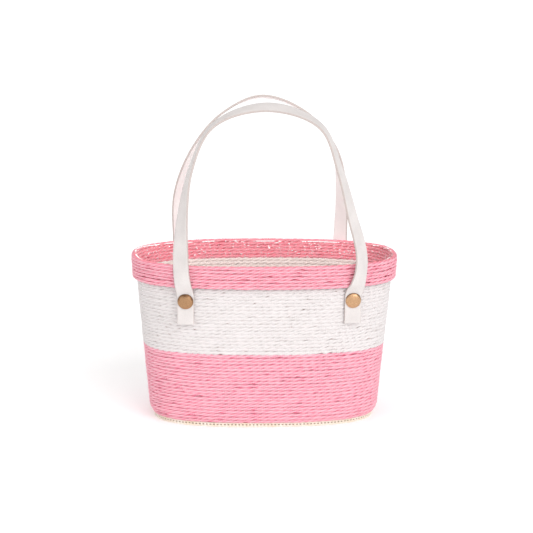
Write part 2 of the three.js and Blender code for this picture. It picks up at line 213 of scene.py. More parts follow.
class Shader:
    """A new material and short ways to add nodes to it."""

    def __init__(self, name, roughness=0.6, metallic=0.0):
        self.material = bpy.data.materials.new(name)
        self.material.use_nodes = True
        self.tree = self.material.node_tree
        self.surface = self.tree.nodes["Principled BSDF"]
        self.surface.inputs["Roughness"].default_value = roughness
        self.surface.inputs["Metallic"].default_value = metallic

    def node(self, kind, **inputs):
        made = self.tree.nodes.new("ShaderNode" + kind)
        for name, value in inputs.items():
            self.feed(made.inputs[name.replace("_", " ")], value)
        return made

    def feed(self, socket, value):
        if isinstance(value, bpy.types.NodeSocket):
            self.tree.links.new(value, socket)
        else:
            socket.default_value = value

    def attribute(self, name, output="Fac"):
        made = self.node("Attribute")
        made.attribute_name = name
        return made.outputs[output]

    def math(self, operation, a, b=0.0, clamp=False):
        made = self.node("Math")
        made.operation = operation
        made.use_clamp = clamp
        self.feed(made.inputs[0], a)
        self.feed(made.inputs[1], b)
        return made.outputs[0]

    def scaled(self, vector, factors):
        made = self.node("VectorMath")
        made.operation = "MULTIPLY"
        self.feed(made.inputs[0], vector)
        self.feed(made.inputs[1], factors)
        return made.outputs[0]

    def noise(self, vector, scale, detail=2.0, roughness=0.5):
        made = self.node("TexNoise", Vector=vector, Scale=scale, Detail=detail, Roughness=roughness)
        return made.outputs["Fac"]

    def uneven(self, noise, amount):
        """A noise as a change up or down by half the amount at most."""
        return self.math("MULTIPLY", self.math("SUBTRACT", noise, 0.5), amount)

    def ramp(self, value, *stops):
        """Colours or grey levels at places from 0 to 1."""
        made = self.node("ValToRGB", Fac=value)
        elements = made.color_ramp.elements
        while len(elements) < len(stops):
            elements.new(0.5)
        for element, (place, colour) in zip(elements, stops):
            element.position = place
            element.color = colour if hasattr(colour, "__len__") else (colour, colour, colour, 1)
        return made.outputs["Color"]

    def mix(self, share, a, b, blend="MIX"):
        made = self.node("Mix")
        made.data_type = "RGBA"
        made.blend_type = blend
        self.feed(made.inputs[0], share)
        self.feed(made.inputs[6], a)
        self.feed(made.inputs[7], b)
        return made.outputs[2]

    def bump(self, height, distance, strength):
        made = self.node("Bump", Height=height, Strength=strength, Distance=distance)
        return made.outputs["Normal"]

    def set(self, **inputs):
        for name, value in inputs.items():
            self.feed(self.surface.inputs[name.replace("_", " ")], value)


def rope_material(name, crown, middle, crevice_shade, parting_shade, inside):
    """Twisted paper rope, streaked along the fibres, with painted light on the strands' crowns and painted
    shade deep in the crevices.

    The attribute along holds the way along the rope and round it in metres, and a shift from row to row.
    The painted-shade attribute runs from 1 on a crown to 0.2 deep between strands, and lower where two rows
    have parted; the two darkest colours given are painted shade in the crevices and partings. inward is 1
    on the side towards the basket's inside, and inside is how much lighter the rope is painted there, as
    painted light, for red, green and blue.
    """
    shader = Shader(name, roughness=0.78)
    along = shader.attribute("along", "Vector")
    painted_shade = shader.attribute("painted_shade")
    patches = shader.noise(shader.scaled(along, (110, 260, 90)), 1.0, detail=3.0)
    streaks = shader.noise(shader.scaled(along, (500, 3600, 1)), 1.0, detail=3.0, roughness=0.6)
    # Painted shade: the painted-shade attribute darkens the colour towards the crevices and partings; the
    # patches and streaks are the paper's own uneven tone.
    shade = shader.math("ADD", painted_shade, shader.uneven(patches, 0.6))
    shade = shader.math("ADD", shade, shader.uneven(streaks, 0.3))
    colour = shader.ramp(shade, (0.0, parting_shade), (0.18, crevice_shade), (0.5, middle), (0.95, crown))
    # Painted light: the side towards the basket's inside is painted lighter by the factors in inside.
    painted_inside_light = shader.mix(1.0, colour, (*inside, 1.0), "MULTIPLY")
    colour = shader.mix(shader.attribute("inward"), colour, painted_inside_light)
    height = shader.math("ADD", streaks, shader.math("MULTIPLY", patches, 0.5))
    normal = shader.bump(height, 0.25 * MM, 0.6)
    shader.set(Base_Color=colour, Normal=normal, Sheen_Weight=0.12, Sheen_Roughness=0.5)
    return shader.material


def strap_material():
    """Soft white faux leather with a fine pebbled grain."""
    shader = Shader("white_faux_leather", roughness=0.46)
    place = shader.node("TexCoord").outputs["Object"]
    grain = shader.node("TexVoronoi", Vector=place, Scale=1500.0, Randomness=1.0)
    grain.feature = "SMOOTH_F1"
    fine = shader.noise(place, 5200.0, detail=2.0)
    soft = shader.noise(place, 60.0, detail=3.0)
    colour = shader.ramp(soft, (0.3, srgb(208, 202, 200)), (0.7, srgb(220, 214, 212)))
    lines = shader.ramp(grain.outputs["Distance"], (0.35, 1.0), (0.9, 0.0))
    colour = shader.mix(0.10, colour, lines, "MULTIPLY")
    height = shader.math("ADD", lines, shader.math("MULTIPLY", fine, 0.35))
    normal = shader.bump(height, 0.09 * MM, 0.5)
    rough = shader.ramp(soft, (0.2, 0.40), (0.8, 0.54))
    shader.set(Base_Color=colour, Normal=normal, Roughness=rough, Sheen_Weight=0.05)
    return shader.material


def strap_edge_material():
    """The raw cut edge of the strap: fibrous, and greyer than its faces."""
    shader = Shader("strap_cut_edge", roughness=0.82)
    place = shader.node("TexCoord").outputs["Object"]
    fibres = shader.noise(place, 2600.0, detail=3.0, roughness=0.65)
    colour = shader.ramp(fibres, (0.3, srgb(182, 170, 166)), (0.7, srgb(206, 195, 191)))
    shader.set(Base_Color=colour, Normal=shader.bump(fibres, 0.15 * MM, 0.7))
    return shader.material


def strap_backing_material():
    """The strap's inner face: lighter and a little warmer than its outer one, with a short nap."""
    shader = Shader("strap_backing", roughness=0.62)
    place = shader.node("TexCoord").outputs["Object"]
    nap = shader.noise(place, 1800.0, detail=3.0, roughness=0.6)
    tone = shader.noise(place, 50.0, detail=2.0)
    colour = shader.ramp(tone, (0.3, srgb(248, 240, 239)), (0.7, srgb(254, 249, 247)))
    shader.set(Base_Color=colour, Normal=shader.bump(nap, 0.06 * MM, 0.4), Sheen_Weight=0.15)
    return shader.material


def brass_material():
    """Antique brass, turned and lightly brushed. The attribute ring is the distance from the rivet's axis,
    and the second attribute is how far a cap is painted darker: tarnish near its edge and a painted
    reflection, mostly along its upper edge."""
    shader = Shader("antique_brass", roughness=0.3, metallic=1.0)
    place = shader.node("TexCoord").outputs["Object"]
    ring = shader.attribute("ring")
    tarnish_and_reflection = shader.attribute("tarnish_and_reflection")
    around = shader.node("CombineXYZ", X=ring).outputs["Vector"]
    turning = shader.noise(shader.scaled(around, (3000, 0, 0)), 1.0, detail=3.0, roughness=0.7)
    stain = shader.noise(place, 1500.0, detail=4.0, roughness=0.65)
    colour = shader.ramp(stain, (0.32, srgb(172, 132, 98)), (0.66, srgb(224, 184, 144)))
    # The front left cap is painted darker all over: tarnish together with a painted reflection.
    colour = shader.mix(shader.math("MULTIPLY", tarnish_and_reflection, 0.45), colour, srgb(136, 96, 62))
    blotches = shader.noise(place, 260.0, detail=3.0)
    spread = shader.math("ADD", ring, shader.math("MULTIPLY", blotches, 5 * MM))
    # Painted reflection: the dark edge reaches further in towards the top of each cap.
    upward = shader.math("SUBTRACT", shader.node("SeparateXYZ", Vector=place).outputs["Z"], RIVET_HEIGHT)
    spread = shader.math("ADD", spread, shader.math("MULTIPLY", upward, 0.28))
    spread = shader.math("ADD", spread, shader.math("MULTIPLY", tarnish_and_reflection, 1.3 * MM))
    patina_and_painted_reflection = shader.math("MULTIPLY", shader.math("SUBTRACT", spread, 9.6 * MM), 0.45 / MM, clamp=True)
    colour = shader.mix(patina_and_painted_reflection, colour, srgb(110, 80, 58))
    rough = shader.ramp(stain, (0.25, 0.46), (0.75, 0.32))
    normal = shader.bump(turning, 0.02 * MM, 0.5)
    shader.set(Base_Color=colour, Roughness=rough, Normal=normal)
    return shader.material


def film_material():
    """Clear film, all but invisible face on, whiter at glancing angles as a painted reflection, with
    painted highlights where it curls or shows its edge.

    The attribute edge is 1 along the film's top edge, and the second attribute is 1 in its upper part,
    where white flecks on the creases are each a painted glint.
    """
    shader = Shader("clear_film", roughness=0.08)
    place = shader.node("TexCoord").outputs["Object"]
    edge = shader.attribute("edge")
    stretches = shader.noise(shader.scaled(place, (60, 60, 10)), 1.0, detail=2.0)
    shown = shader.ramp(stretches, (0.5, 0.04), (0.56, 1.0))
    # Painted reflection: the film turns more opaque white at glancing angles.
    glancing = shader.node("LayerWeight", Blend=0.25).outputs["Facing"]
    clear = shader.math("ADD", 0.008, shader.math("MULTIPLY", shader.math("POWER", glancing, 4.0), 0.1))
    creases = shader.noise(shader.scaled(place, (380, 380, 760)), 1.0, detail=2.0, roughness=0.6)
    # Painted glint: sharp white flecks on the creases in the upper part.
    painted_glint_flecks = shader.ramp(creases, (0.63, 0.0), (0.66, 0.85))
    painted_glints = shader.math("MULTIPLY", painted_glint_flecks, shader.attribute("painted_glint_mask"))
    clear = shader.math("ADD", clear, painted_glints)
    # Painted highlight: the top edge turns opaque white in patches.
    painted_edge_highlight = shader.math("MULTIPLY", edge, shader.math("MULTIPLY", shown, 0.9))
    alpha = shader.math("ADD", clear, painted_edge_highlight, clamp=True)
    ripple = shader.noise(shader.scaled(place, (160, 160, 60)), 1.0, detail=2.0)
    rough = shader.math("ADD", 0.08, shader.math("MULTIPLY", edge, 0.5))
    # Painted glow: the cut edge and the painted glint flecks on the creases glow, though no lamp is there.
    painted_glow = shader.math("ADD", shader.math("MULTIPLY", edge, 0.3), shader.math("MULTIPLY", painted_glints, 0.35))
    normal = shader.bump(ripple, 0.6 * MM, 0.4)
    shader.set(Base_Color=srgb(254, 254, 254), Alpha=alpha, Roughness=rough, Normal=normal)
    shader.set(Emission_Color=(1, 1, 1, 1), Emission_Strength=painted_glow)
    return shader.material


def woven_material():
    """Cream paper cord of the woven base."""
    shader = Shader("woven_paper", roughness=0.85)
    place = shader.node("TexCoord").outputs["Object"]
    fibres = shader.noise(shader.scaled(place, (900, 900, 2400)), 1.0, detail=3.0, roughness=0.6)
    tint = shader.noise(place, 90.0, detail=2.0)
    colour = shader.ramp(tint, (0.3, srgb(240, 228, 206)), (0.7, srgb(248, 243, 232)))
    shade = shader.ramp(fibres, (0.25, 0.86), (0.7, 1.0))
    colour = shader.mix(1.0, colour, shade, "MULTIPLY")
    shader.set(Base_Color=colour, Normal=shader.bump(fibres, 0.15 * MM, 0.7))
    return shader.material


def board_material():
    """Greyboard with flecks."""
    shader = Shader("greyboard", roughness=0.9)
    place = shader.node("TexCoord").outputs["Object"]
    flecks = shader.noise(place, 1300.0, detail=4.0, roughness=0.7)
    colour = shader.ramp(flecks, (0.3, srgb(150, 130, 108)), (0.7, srgb(196, 174, 146)))
    shader.set(Base_Color=colour, Normal=shader.bump(flecks, 0.1 * MM, 0.5))
    return shader.material


def wire_material():
    """Drawn steel wire, dulled in patches."""
    shader = Shader("drawn_wire", roughness=0.38, metallic=1.0)
    place = shader.node("TexCoord").outputs["Object"]
    dull = shader.noise(place, 240.0, detail=3.0)
    colour = shader.ramp(dull, (0.3, srgb(150, 148, 146)), (0.7, srgb(186, 186, 188)))
    shader.set(Base_Color=colour, Roughness=shader.ramp(dull, (0.3, 0.5), (0.7, 0.3)))
    return shader.material


def floor_material():
    """Matt white studio floor, a little uneven in tone."""
    shader = Shader("studio_floor", roughness=0.9)
    place = shader.node("TexCoord").outputs["Object"]
    tone = shader.noise(place, 1.5, detail=2.0)
    white = shader.ramp(tone, (0.3, srgb(250, 250, 250)), (0.7, srgb(253, 253, 253)))
    shader.set(Base_Color=white, Emission_Color=(1, 1, 1, 1), Emission_Strength=0.15)
    return shader.material


# ------------------------------------------------------------------------------
# Mesh helpers


def make_piece(name, points, faces, materials, attributes=(), smooth=True):
    """A mesh object from an N by 3 array and a list or array of faces. attributes is name: values."""
    mesh = bpy.data.meshes.new(name)
    face_list = faces.tolist() if isinstance(faces, np.ndarray) else faces
    mesh.from_pydata(np.asarray(points, float).tolist(), [], face_list)
    for key, values in dict(attributes).items():
        values = np.asarray(values, np.float32)
        kind, field = ("FLOAT", "value") if values.ndim == 1 else ("FLOAT_VECTOR", "vector")
        mesh.attributes.new(key, kind, "POINT").data.foreach_set(field, values.ravel())
    for material in materials:
        mesh.materials.append(material)
    if smooth:
        mesh.shade_smooth()
    piece = bpy.data.objects.new(name, mesh)
    bpy.context.scene.collection.objects.link(piece)
    return piece


def grid_faces(rows, columns, close_rows=False, close_columns=False):
    """Quads between the points of a grid that are numbered row by row."""
    i = np.arange(rows if close_rows else rows - 1)[:, None]
    j = np.arange(columns if close_columns else columns - 1)[None, :]
    next_i = (i + 1) % rows
    next_j = (j + 1) % columns
    corners = [i * columns + j, next_i * columns + j, next_i * columns + next_j, i * columns + next_j]
    return np.stack([c.ravel() for c in np.broadcast_arrays(*corners)], axis=1)


def wander(share, knots, rng):
    """Smooth random values between -1 and 1 along a closed line, whose places run from 0 to 1. knots is how
    many of them are drawn: more knots, shorter waves."""
    values = rng.uniform(-1, 1, knots)
    place = (share % 1.0) * knots
    i = np.floor(place).astype(int)
    part = place - i
    part = part * part * (3 - 2 * part)
    return values[i % knots] * (1 - part) + values[(i + 1) % knots] * part


# ------------------------------------------------------------------------------
# The basket's plan shape


def wall_inset(z):
    """How far the outside of the wall stands inside the rim band at a height."""
    lean = WALL_TOP_INSET + WALL_LEAN * (RIM_HEIGHT - z)
    return lean + np.interp(z, CORNER_HEIGHTS, CORNER_INSETS)


def band_inset(z):
    """The same for the outside of the rim band."""
    widest = RIM_HEIGHT - BAND_SHOULDER
    return BAND_LEAN * np.clip((widest - z) / (widest - BAND_BOTTOM), 0, 1)


def rim_inset(z):
    """The same for the inner layer of the rim, which leans out into the band."""
    part = (z - INNER_PINK_BOTTOM) / (RIM_HEIGHT - INNER_PINK_BOTTOM)
    return wall_inset(z) - RIM_LEAN * np.clip(part, 0, 1)


def signed_power(value, power):
    return np.sign(value) * np.abs(value) ** power


def oval_at(angle, inset):
    """x and y on the oval, for an angle that goes counterclockwise from +X."""
    x = (HALF_WIDTH - inset) * signed_power(np.cos(angle), 2 / OVAL_POWER)
    y = (HALF_DEPTH - inset) * signed_power(np.sin(angle), 2 / OVAL_POWER)
    return x, y


def oval_line(inset, steps):
    """Points round the oval at equal distances, counterclockwise from the back, with their outward
    normals, and the oval's length."""
    x, y = oval_at(np.linspace(0, 2 * np.pi, 4001) + np.pi / 2, inset)
    gone = np.concatenate([[0], np.cumsum(np.hypot(np.diff(x), np.diff(y)))])
    wanted = np.arange(steps) / steps * gone[-1]
    points = np.stack([np.interp(wanted, gone, x), np.interp(wanted, gone, y)], axis=1)
    ahead = np.roll(points, -1, axis=0) - np.roll(points, 1, axis=0)
    ahead /= np.linalg.norm(ahead, axis=1, keepdims=True)
    normals = np.stack([ahead[:, 1], -ahead[:, 0]], axis=1)
    return points, normals, gone[-1]


def surface_at(inset, x, side):
    """The place on the oval at x, on the front (side -1) or the rear (side 1), and its outward normal."""
    a = HALF_WIDTH - inset
    b = HALF_DEPTH - inset
    y = side * b * (1 - abs(x / a) ** OVAL_POWER) ** (1 / OVAL_POWER)
    normal = Vector((signed_power(x / a, OVAL_POWER - 1) / a, signed_power(y / b, OVAL_POWER - 1) / b, 0))
    return Vector((x, y, 0)), normal.normalized()


# ------------------------------------------------------------------------------
# Rope coils


def strand_outline():
    """The rope's three-lobed section: for each of its sides the angle, the radius as a share of the rope's
    own, and whether it lies in a valley between two strands."""
    angle = 2 * np.pi * np.arange(ROPE_SIDES) / ROPE_SIDES
    lobe = np.abs(np.cos(1.5 * angle)) ** 0.7
    return angle, STRAND_VALLEY + (1 - STRAND_VALLEY) * lobe, lobe < 0.01


def dashes(share, count, reach, rng):
    """Short stretches of a closed line: near 1 in their middles, 0 between them."""
    total = np.zeros_like(share)
    for centre in rng.uniform(0, 1, count):
        size = rng.uniform(0.45, 1.0)
        away = np.abs((share - centre + 0.5) % 1.0 - 0.5)
        total = np.maximum(total, size * np.exp(-((away / (reach * size)) ** 4)))
    return total


def rope_row(z, inset, slack, press, rng):
    """One closed row of twisted rope whose middle lies at z: its points, station by station, and for each
    the values along, painted shade and inward that rope_material reads."""
    section_angle, section_radius, _ = strand_outline()
    _, _, length = oval_line(inset, 8)
    twists = round(length / ROPE_LAY)
    steps = twists * STEPS_PER_LAY
    line, normals, length = oval_line(inset, steps)
    share = np.arange(steps) / steps
    out = slack * (0.16 * MM * wander(share, 24, rng) + 0.10 * MM * wander(share, 90, rng))
    rise = slack * (0.17 * MM * wander(share, 18, rng) + 0.12 * MM * wander(share, 70, rng))
    radius = ROPE / 2 * (1.03 + 0.05 * wander(share, 60, rng))
    turn = 2 * np.pi * twists * share + rng.uniform(0, 2 * np.pi) + 0.7 * wander(share, 40, rng)
    angle = turn[:, None] + section_angle[None, :]
    reach = radius[:, None] * section_radius[None, :]
    parted = dashes(share, round(PARTINGS * slack), PARTING_REACH / length, rng)[:, None]
    below = np.clip(-np.sin(angle), 0, 1)
    outward = reach * np.cos(angle) + out[:, None]
    upward = press * reach * np.sin(angle) * (1 - 0.3 * parted * (below > 0)) + rise[:, None]
    points = np.empty((steps, ROPE_SIDES, 3))
    points[:, :, :2] = line[:, None, :] + normals[:, None, :] * outward[:, :, None]
    points[:, :, 2] = z + upward
    lobe = (section_radius[None, :] - STRAND_VALLEY) / (1 - STRAND_VALLEY)
    # Painted shade: darker where the rows touch, in the valleys between strands, and where two rows have
    # parted.
    painted_shade = 0.2 + 0.45 * np.abs(np.cos(angle)) + 0.35 * lobe - 0.9 * parted * below
    inward = np.clip(-1.4 * np.cos(angle), 0, 1)
    along = np.zeros((steps, ROPE_SIDES, 3))
    along[:, :, 0] = (share * length)[:, None]
    along[:, :, 1] = (section_angle * ROPE / 2)[None, :]
    return points, along, painted_shade, inward


def rope_coil(name, bottom, top, rows, inset_at, material, seed, slack=1.0, press=1.2):
    """Rows of twisted rope between two heights.

    inset_at gives the outside of the layer at a height. slack is how unevenly the rows lie and how often
    they part. press is how much taller than deep the rope is, pressed on its neighbours.
    """
    rng = np.random.RandomState(seed)
    pitch = (top - bottom) / rows
    all_points, all_faces, all_along, all_painted_shade, all_inward = [], [], [], [], []
    count = 0
    for row in range(rows):
        z = bottom + pitch * (row + 0.5)
        points, along, painted_shade, inward = rope_row(z, inset_at(z) + ROPE / 2, slack, press, rng)
        along[:, :, 2] = FIBRE_SHIFT * row
        all_points.append(points.reshape(-1, 3))
        all_along.append(along.reshape(-1, 3))
        all_painted_shade.append(painted_shade.ravel())
        all_inward.append(inward.ravel())
        all_faces.append(grid_faces(len(points), ROPE_SIDES, True, True) + count)
        count += len(points) * ROPE_SIDES
    attributes = {
        "along": np.concatenate(all_along),
        "painted_shade": np.concatenate(all_painted_shade),
        "inward": np.concatenate(all_inward),
    }
    coil = make_piece(name, np.concatenate(all_points), np.concatenate(all_faces), [material], attributes)
    sharpen_valleys(coil.data)
    return coil


def sharpen_valleys(mesh):
    """Keeps the line between two strands crisp."""
    _, _, valley = strand_outline()
    ends = np.empty(len(mesh.edges) * 2, np.int32)
    mesh.edges.foreach_get("vertices", ends)
    sides = ends.reshape(-1, 2) % ROPE_SIDES
    sharp = (sides[:, 0] == sides[:, 1]) & valley[sides[:, 0]]
    mesh.attributes.new("sharp_edge", "BOOLEAN", "EDGE").data.foreach_set("value", sharp)


def make_coils(pink, white, pink_inside_painted_light, pink_band_deeper_shade):
    lower = rope_coil("pink_rope_coil", COIL_BOTTOM, WHITE_BOTTOM, PINK_ROWS, wall_inset, pink, seed=11)
    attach(lower, "basket")
    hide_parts("lower_pink_coil")
    middle = rope_coil("white_rope_coil", WHITE_BOTTOM, INNER_PINK_BOTTOM, WHITE_ROWS, wall_inset, white,
                       seed=12, slack=1.1, press=1.58)
    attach(middle, "basket")
    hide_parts("white_coil")
    inner = rope_coil("rim_rope_inside", INNER_PINK_BOTTOM, RIM_HEIGHT, INNER_RIM_ROWS, rim_inset,
                      pink_inside_painted_light, seed=13, slack=0.8, press=1.3)
    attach(inner, "basket")
    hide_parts("rim_inner_coil")
    outer = rope_coil("rim_rope_band", BAND_BOTTOM, RIM_HEIGHT, BAND_ROWS, band_inset, pink_band_deeper_shade,
                      seed=14, slack=1.5, press=1.1)
    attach(outer, "basket")
    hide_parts("rim_band_coil")


# ------------------------------------------------------------------------------
# Straps

FACE, CUT_EDGE, INNER_FACE = range(3)  # which of a strap's materials
FACE_POINTS = 9  # across each face of a strap
DENT_DEPTH = 0.3 * MM


def smooth_line(points, spacing):
    """A smooth line through points, with stations at near equal spacing, by Hermite curves on chord length.
    Columns beyond the first three are carried along."""
    points = np.asarray(points, float)
    chord = np.linalg.norm(np.diff(points[:, :3], axis=0), axis=1)
    rate = np.diff(points, axis=0) / chord[:, None]
    slope = np.empty_like(points)
    before, after = chord[:-1, None], chord[1:, None]
    slope[1:-1] = (rate[:-1] * after + rate[1:] * before) / (before + after)
    slope[0], slope[-1] = rate[0], rate[-1]
    line = []
    for i, length in enumerate(chord):
        steps = max(2, int(round(length / spacing)))
        for t in np.arange(steps) / steps:
            from_weight = 2 * t ** 3 - 3 * t ** 2 + 1
            to_weight = 3 * t ** 2 - 2 * t ** 3
            leave = (t ** 3 - 2 * t ** 2 + t) * length
            arrive = (t ** 3 - t ** 2) * length
            line.append(from_weight * points[i] + to_weight * points[i + 1]
                        + leave * slope[i] + arrive * slope[i + 1])
    line.append(points[-1])
    return np.array(line)


def seat_on_wall(z, rivet_x, side):
    """Where a strap's inner face lies at its rivet's x: a place on the wall, or just off it, and which way
    the strap faces."""
    place, normal = surface_at(wall_inset(z), rivet_x, side)
    if side > 0:
        return place, normal
    turn = math.copysign(math.radians(FRONT_TAIL_TURN), rivet_x)
    facing = Vector((math.sin(turn), -math.cos(turn), 0))
    return place + facing * FRONT_TAIL_LIFT, facing


def strap_leg(rivet_x, rim, side):
    """Points of a strap from its cut end up to just below the rim: flat on the wall under the rivet, then
    over the rim band towards the rim point. Each has a turn in degrees."""
    lift = STRAP_THICKNESS / 2 + STRAP_CLEARANCE
    points = []
    for z in [*np.linspace(STRAP_TAIL, RIVET_HEIGHT, 4), LEAVES_WALL]:
        place, facing = seat_on_wall(z, rivet_x, side)
        place += facing * lift
        tail_turn = math.degrees(math.atan2(abs(facing.x), abs(facing.y)))
        points.append((place.x, place.y, z, tail_turn))
    rim_place, _ = surface_at(band_inset(HINGE_HEIGHT) - lift, rim[0], side)
    for z in CLIMB_HEIGHTS:
        climb = (z - LEAVES_WALL) / (HINGE_HEIGHT - LEAVES_WALL)
        eased = 1 - (1 - climb) ** 2
        x = rivet_x + (rim[0] - rivet_x) * eased
        place, _ = surface_at(band_inset(z) - lift, x, side)
        y = place.y + (rim[1] - rim_place.y) * climb
        points.append((x, y, z, tail_turn + (rim[3] - tail_turn) * eased))
    return points


def handle_points(handle):
    """The nine points of a handle as x, y, z and turn."""
    peak_x, peak_z = handle["peak"][0] * MM, handle["peak"][1] * MM
    legs = [HINGE_HEIGHT] + LEG_HEIGHTS
    places = [x * MM for x in handle["left"]] + [peak_x] + [x * MM for x in reversed(handle["right"])]
    points = []
    for x, z, turn in zip(places, legs + [peak_z] + legs[::-1], handle["turns"]):
        drop = (peak_z - z) / (peak_z - HINGE_HEIGHT)
        points.append((x, handle["side"] * (PEAK_DEPTH + HANDLE_LEAN * drop), z, turn))
    return points


def strap_frames(line, side):
    """At each station of a strap: the direction across it and the way its outer face looks."""
    ahead = np.gradient(line[:, :3], axis=0)
    ahead /= np.linalg.norm(ahead, axis=1, keepdims=True)
    sideways = np.array([0, 1.0, 0]) - ahead * ahead[:, 1:2]
    sideways /= np.linalg.norm(sideways, axis=1, keepdims=True)
    inwards = np.cross(sideways, ahead)
    turn = np.radians(line[:, 3:4])
    across = np.cos(turn) * inwards + side * np.sin(turn) * sideways
    return across, side * np.cross(ahead, across)


def strap_section():
    """The strap's outline as (across, out) pairs, and which material each side of it has."""
    half_width, half_thick = STRAP_WIDTH / 2, STRAP_THICKNESS / 2
    bevel = 0.4 * MM
    crown = 0.14 * MM
    across = np.linspace(-half_width + bevel, half_width - bevel, FACE_POINTS)
    bulge = crown * (1 - (across / half_width) ** 2)
    outer = [(u, half_thick + b) for u, b in zip(across, bulge)]
    inner = [(u, -half_thick) for u in across[::-1]]
    shoulder = (half_width - 0.08 * MM, half_thick - 0.25 * MM)
    right = [shoulder, (half_width, 0), (shoulder[0], -shoulder[1])]
    left = [(-u, -v) for u, v in right]
    outline = outer + right + inner + left
    edge_skin = [CUT_EDGE] * (len(right) + 1)
    skin = [FACE] * (FACE_POINTS - 1) + edge_skin + [INNER_FACE] * (FACE_POINTS - 1) + edge_skin
    return np.array(outline), skin


def rivet_dents(line, across, u, side):
    """How far a strap is pressed in round its two rivets, for each station and each place across it."""
    spots = line[:, None, :3] + across[:, None, :] * u[None, :, None]
    dents = np.zeros(spots.shape[:2])
    for x in rivets_of(side):
        place, _ = seat_on_wall(RIVET_HEIGHT, x, side)
        centre = np.array([place.x, place.y, RIVET_HEIGHT])
        far = np.linalg.norm(spots - centre, axis=2)
        dents += DENT_DEPTH * np.exp(-(far / (CAP_RADIUS * 1.1)) ** 4)
    return dents


def make_strap(word, handle, materials):
    """A whole strap, from one cut end on the wall over the handle's arch to the other."""
    side = handle["side"]
    left_rivet, right_rivet = rivets_of(side)
    loop = handle_points(handle)
    left = strap_leg(left_rivet, loop[0], side)
    right = strap_leg(right_rivet, loop[-1], side)
    line = smooth_line(left + loop + right[::-1], STRAP_STEP)
    across, outward = strap_frames(line, side)
    outline, skin = strap_section()
    u, v = outline[:, 0], outline[:, 1]
    points = (
        line[:, None, :3]
        + across[:, None, :] * u[None, :, None]
        + outward[:, None, :] * (v[None, :] - rivet_dents(line, across, u, side))[:, :, None]
    )
    stations, sides = len(line), len(outline)
    first_end = list(range(sides))
    last_end = [(stations - 1) * sides + k for k in range(sides)]
    faces = grid_faces(stations, sides, False, True).tolist() + [first_end, last_end[::-1]]
    if side < 0:
        faces = [face[::-1] for face in faces]  # so that they look outwards on this strap too
    strap = make_piece(f"{word}_strap", points.reshape(-1, 3), faces, materials)
    strap.data.polygons.foreach_set("material_index", skin * (stations - 1) + [CUT_EDGE] * 2)
    strap.data.set_sharp_from_angle(angle=math.radians(40))
    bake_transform(strap)
    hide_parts(f"{word}_strap_loop", f"{word}_left_strap_end", f"{word}_right_strap_end")


def rivets_of(side):
    """x of the left and the right rivet of a strap."""
    shift = FRONT_SHIFT if side < 0 else 0.0
    return [shift - RIVET_HALF_SPACING, shift + RIVET_HALF_SPACING]


def make_straps(leather, edge, backing):
    make_strap("front", FRONT_HANDLE, [leather, edge, backing])
    make_strap("rear", REAR_HANDLE, [leather, edge, backing])


# ------------------------------------------------------------------------------
# Rivets

RIVET_SIDES = 56
POST_RADIUS = 1.6 * MM
CAP_EDGE = 0.55 * MM
CAP_HEIGHT = 2.7 * MM
BUTTON_RADIUS = 6 * MM
BUTTON_EDGE = 0.5 * MM
BUTTON_HEIGHT = 2.8 * MM
DOME_STEPS = 13
GROOVE_STEP = 5  # where a fine groove runs round a dome
GROOVE_DEPTH = 0.05 * MM
MUCH_TARNISH_AND_REFLECTION = 1.0  # one cap is painted darker than the others: tarnish and a painted reflection along its upper edge
LITTLE_TARNISH_AND_REFLECTION = 0.1


def turned_piece(name, profile, origin, axis, material, tarnish_and_reflection):
    """A closed body turned round an axis, from (radius, height) pairs that start and end on the axis."""
    profile = np.array(profile)
    inner = profile[1:-1]
    angle = 2 * np.pi * np.arange(RIVET_SIDES) / RIVET_SIDES
    tilt = Vector((0, 0, 1)).rotation_difference(axis).to_matrix()
    rings = np.stack([
        inner[:, 0][:, None] * np.cos(angle)[None, :],
        inner[:, 0][:, None] * np.sin(angle)[None, :],
        np.repeat(inner[:, 1][:, None], RIVET_SIDES, axis=1),
    ], axis=2).reshape(-1, 3)
    points = np.concatenate([rings, [[0, 0, profile[0, 1]], [0, 0, profile[-1, 1]]]])
    radius = np.linalg.norm(points[:, :2], axis=1)
    points = points @ np.array(tilt).T + np.array(origin)
    faces = grid_faces(len(inner), RIVET_SIDES, False, True)[:, ::-1].tolist()
    low_tip, high_tip = len(rings), len(rings) + 1
    last = (len(inner) - 1) * RIVET_SIDES
    for k in range(RIVET_SIDES):
        after = (k + 1) % RIVET_SIDES
        faces.append([low_tip, after, k])
        faces.append([high_tip, last + k, last + after])
    attributes = {"ring": radius, "tarnish_and_reflection": np.full(len(points), tarnish_and_reflection)}
    piece = make_piece(name, points, faces, [material], attributes)
    piece.data.set_sharp_from_angle(angle=math.radians(42))
    return piece


def dome(radius, seat, edge, height):
    """Profile of a domed cap: its underside's rolled edge, a short rise and a low dome with a groove."""
    profile = [
        (radius - 0.35 * MM, seat),
        (radius - 0.08 * MM, seat + 0.12 * MM),
        (radius, seat + 0.35 * MM),
    ]
    for step in range(DOME_STEPS):
        t = math.pi / 2 * step / DOME_STEPS
        groove = GROOVE_DEPTH if step == GROOVE_STEP else 0.0
        rise = (height - edge) * math.sin(t)
        profile.append((radius * 0.985 * math.cos(t), seat + edge + rise - groove))
    return profile


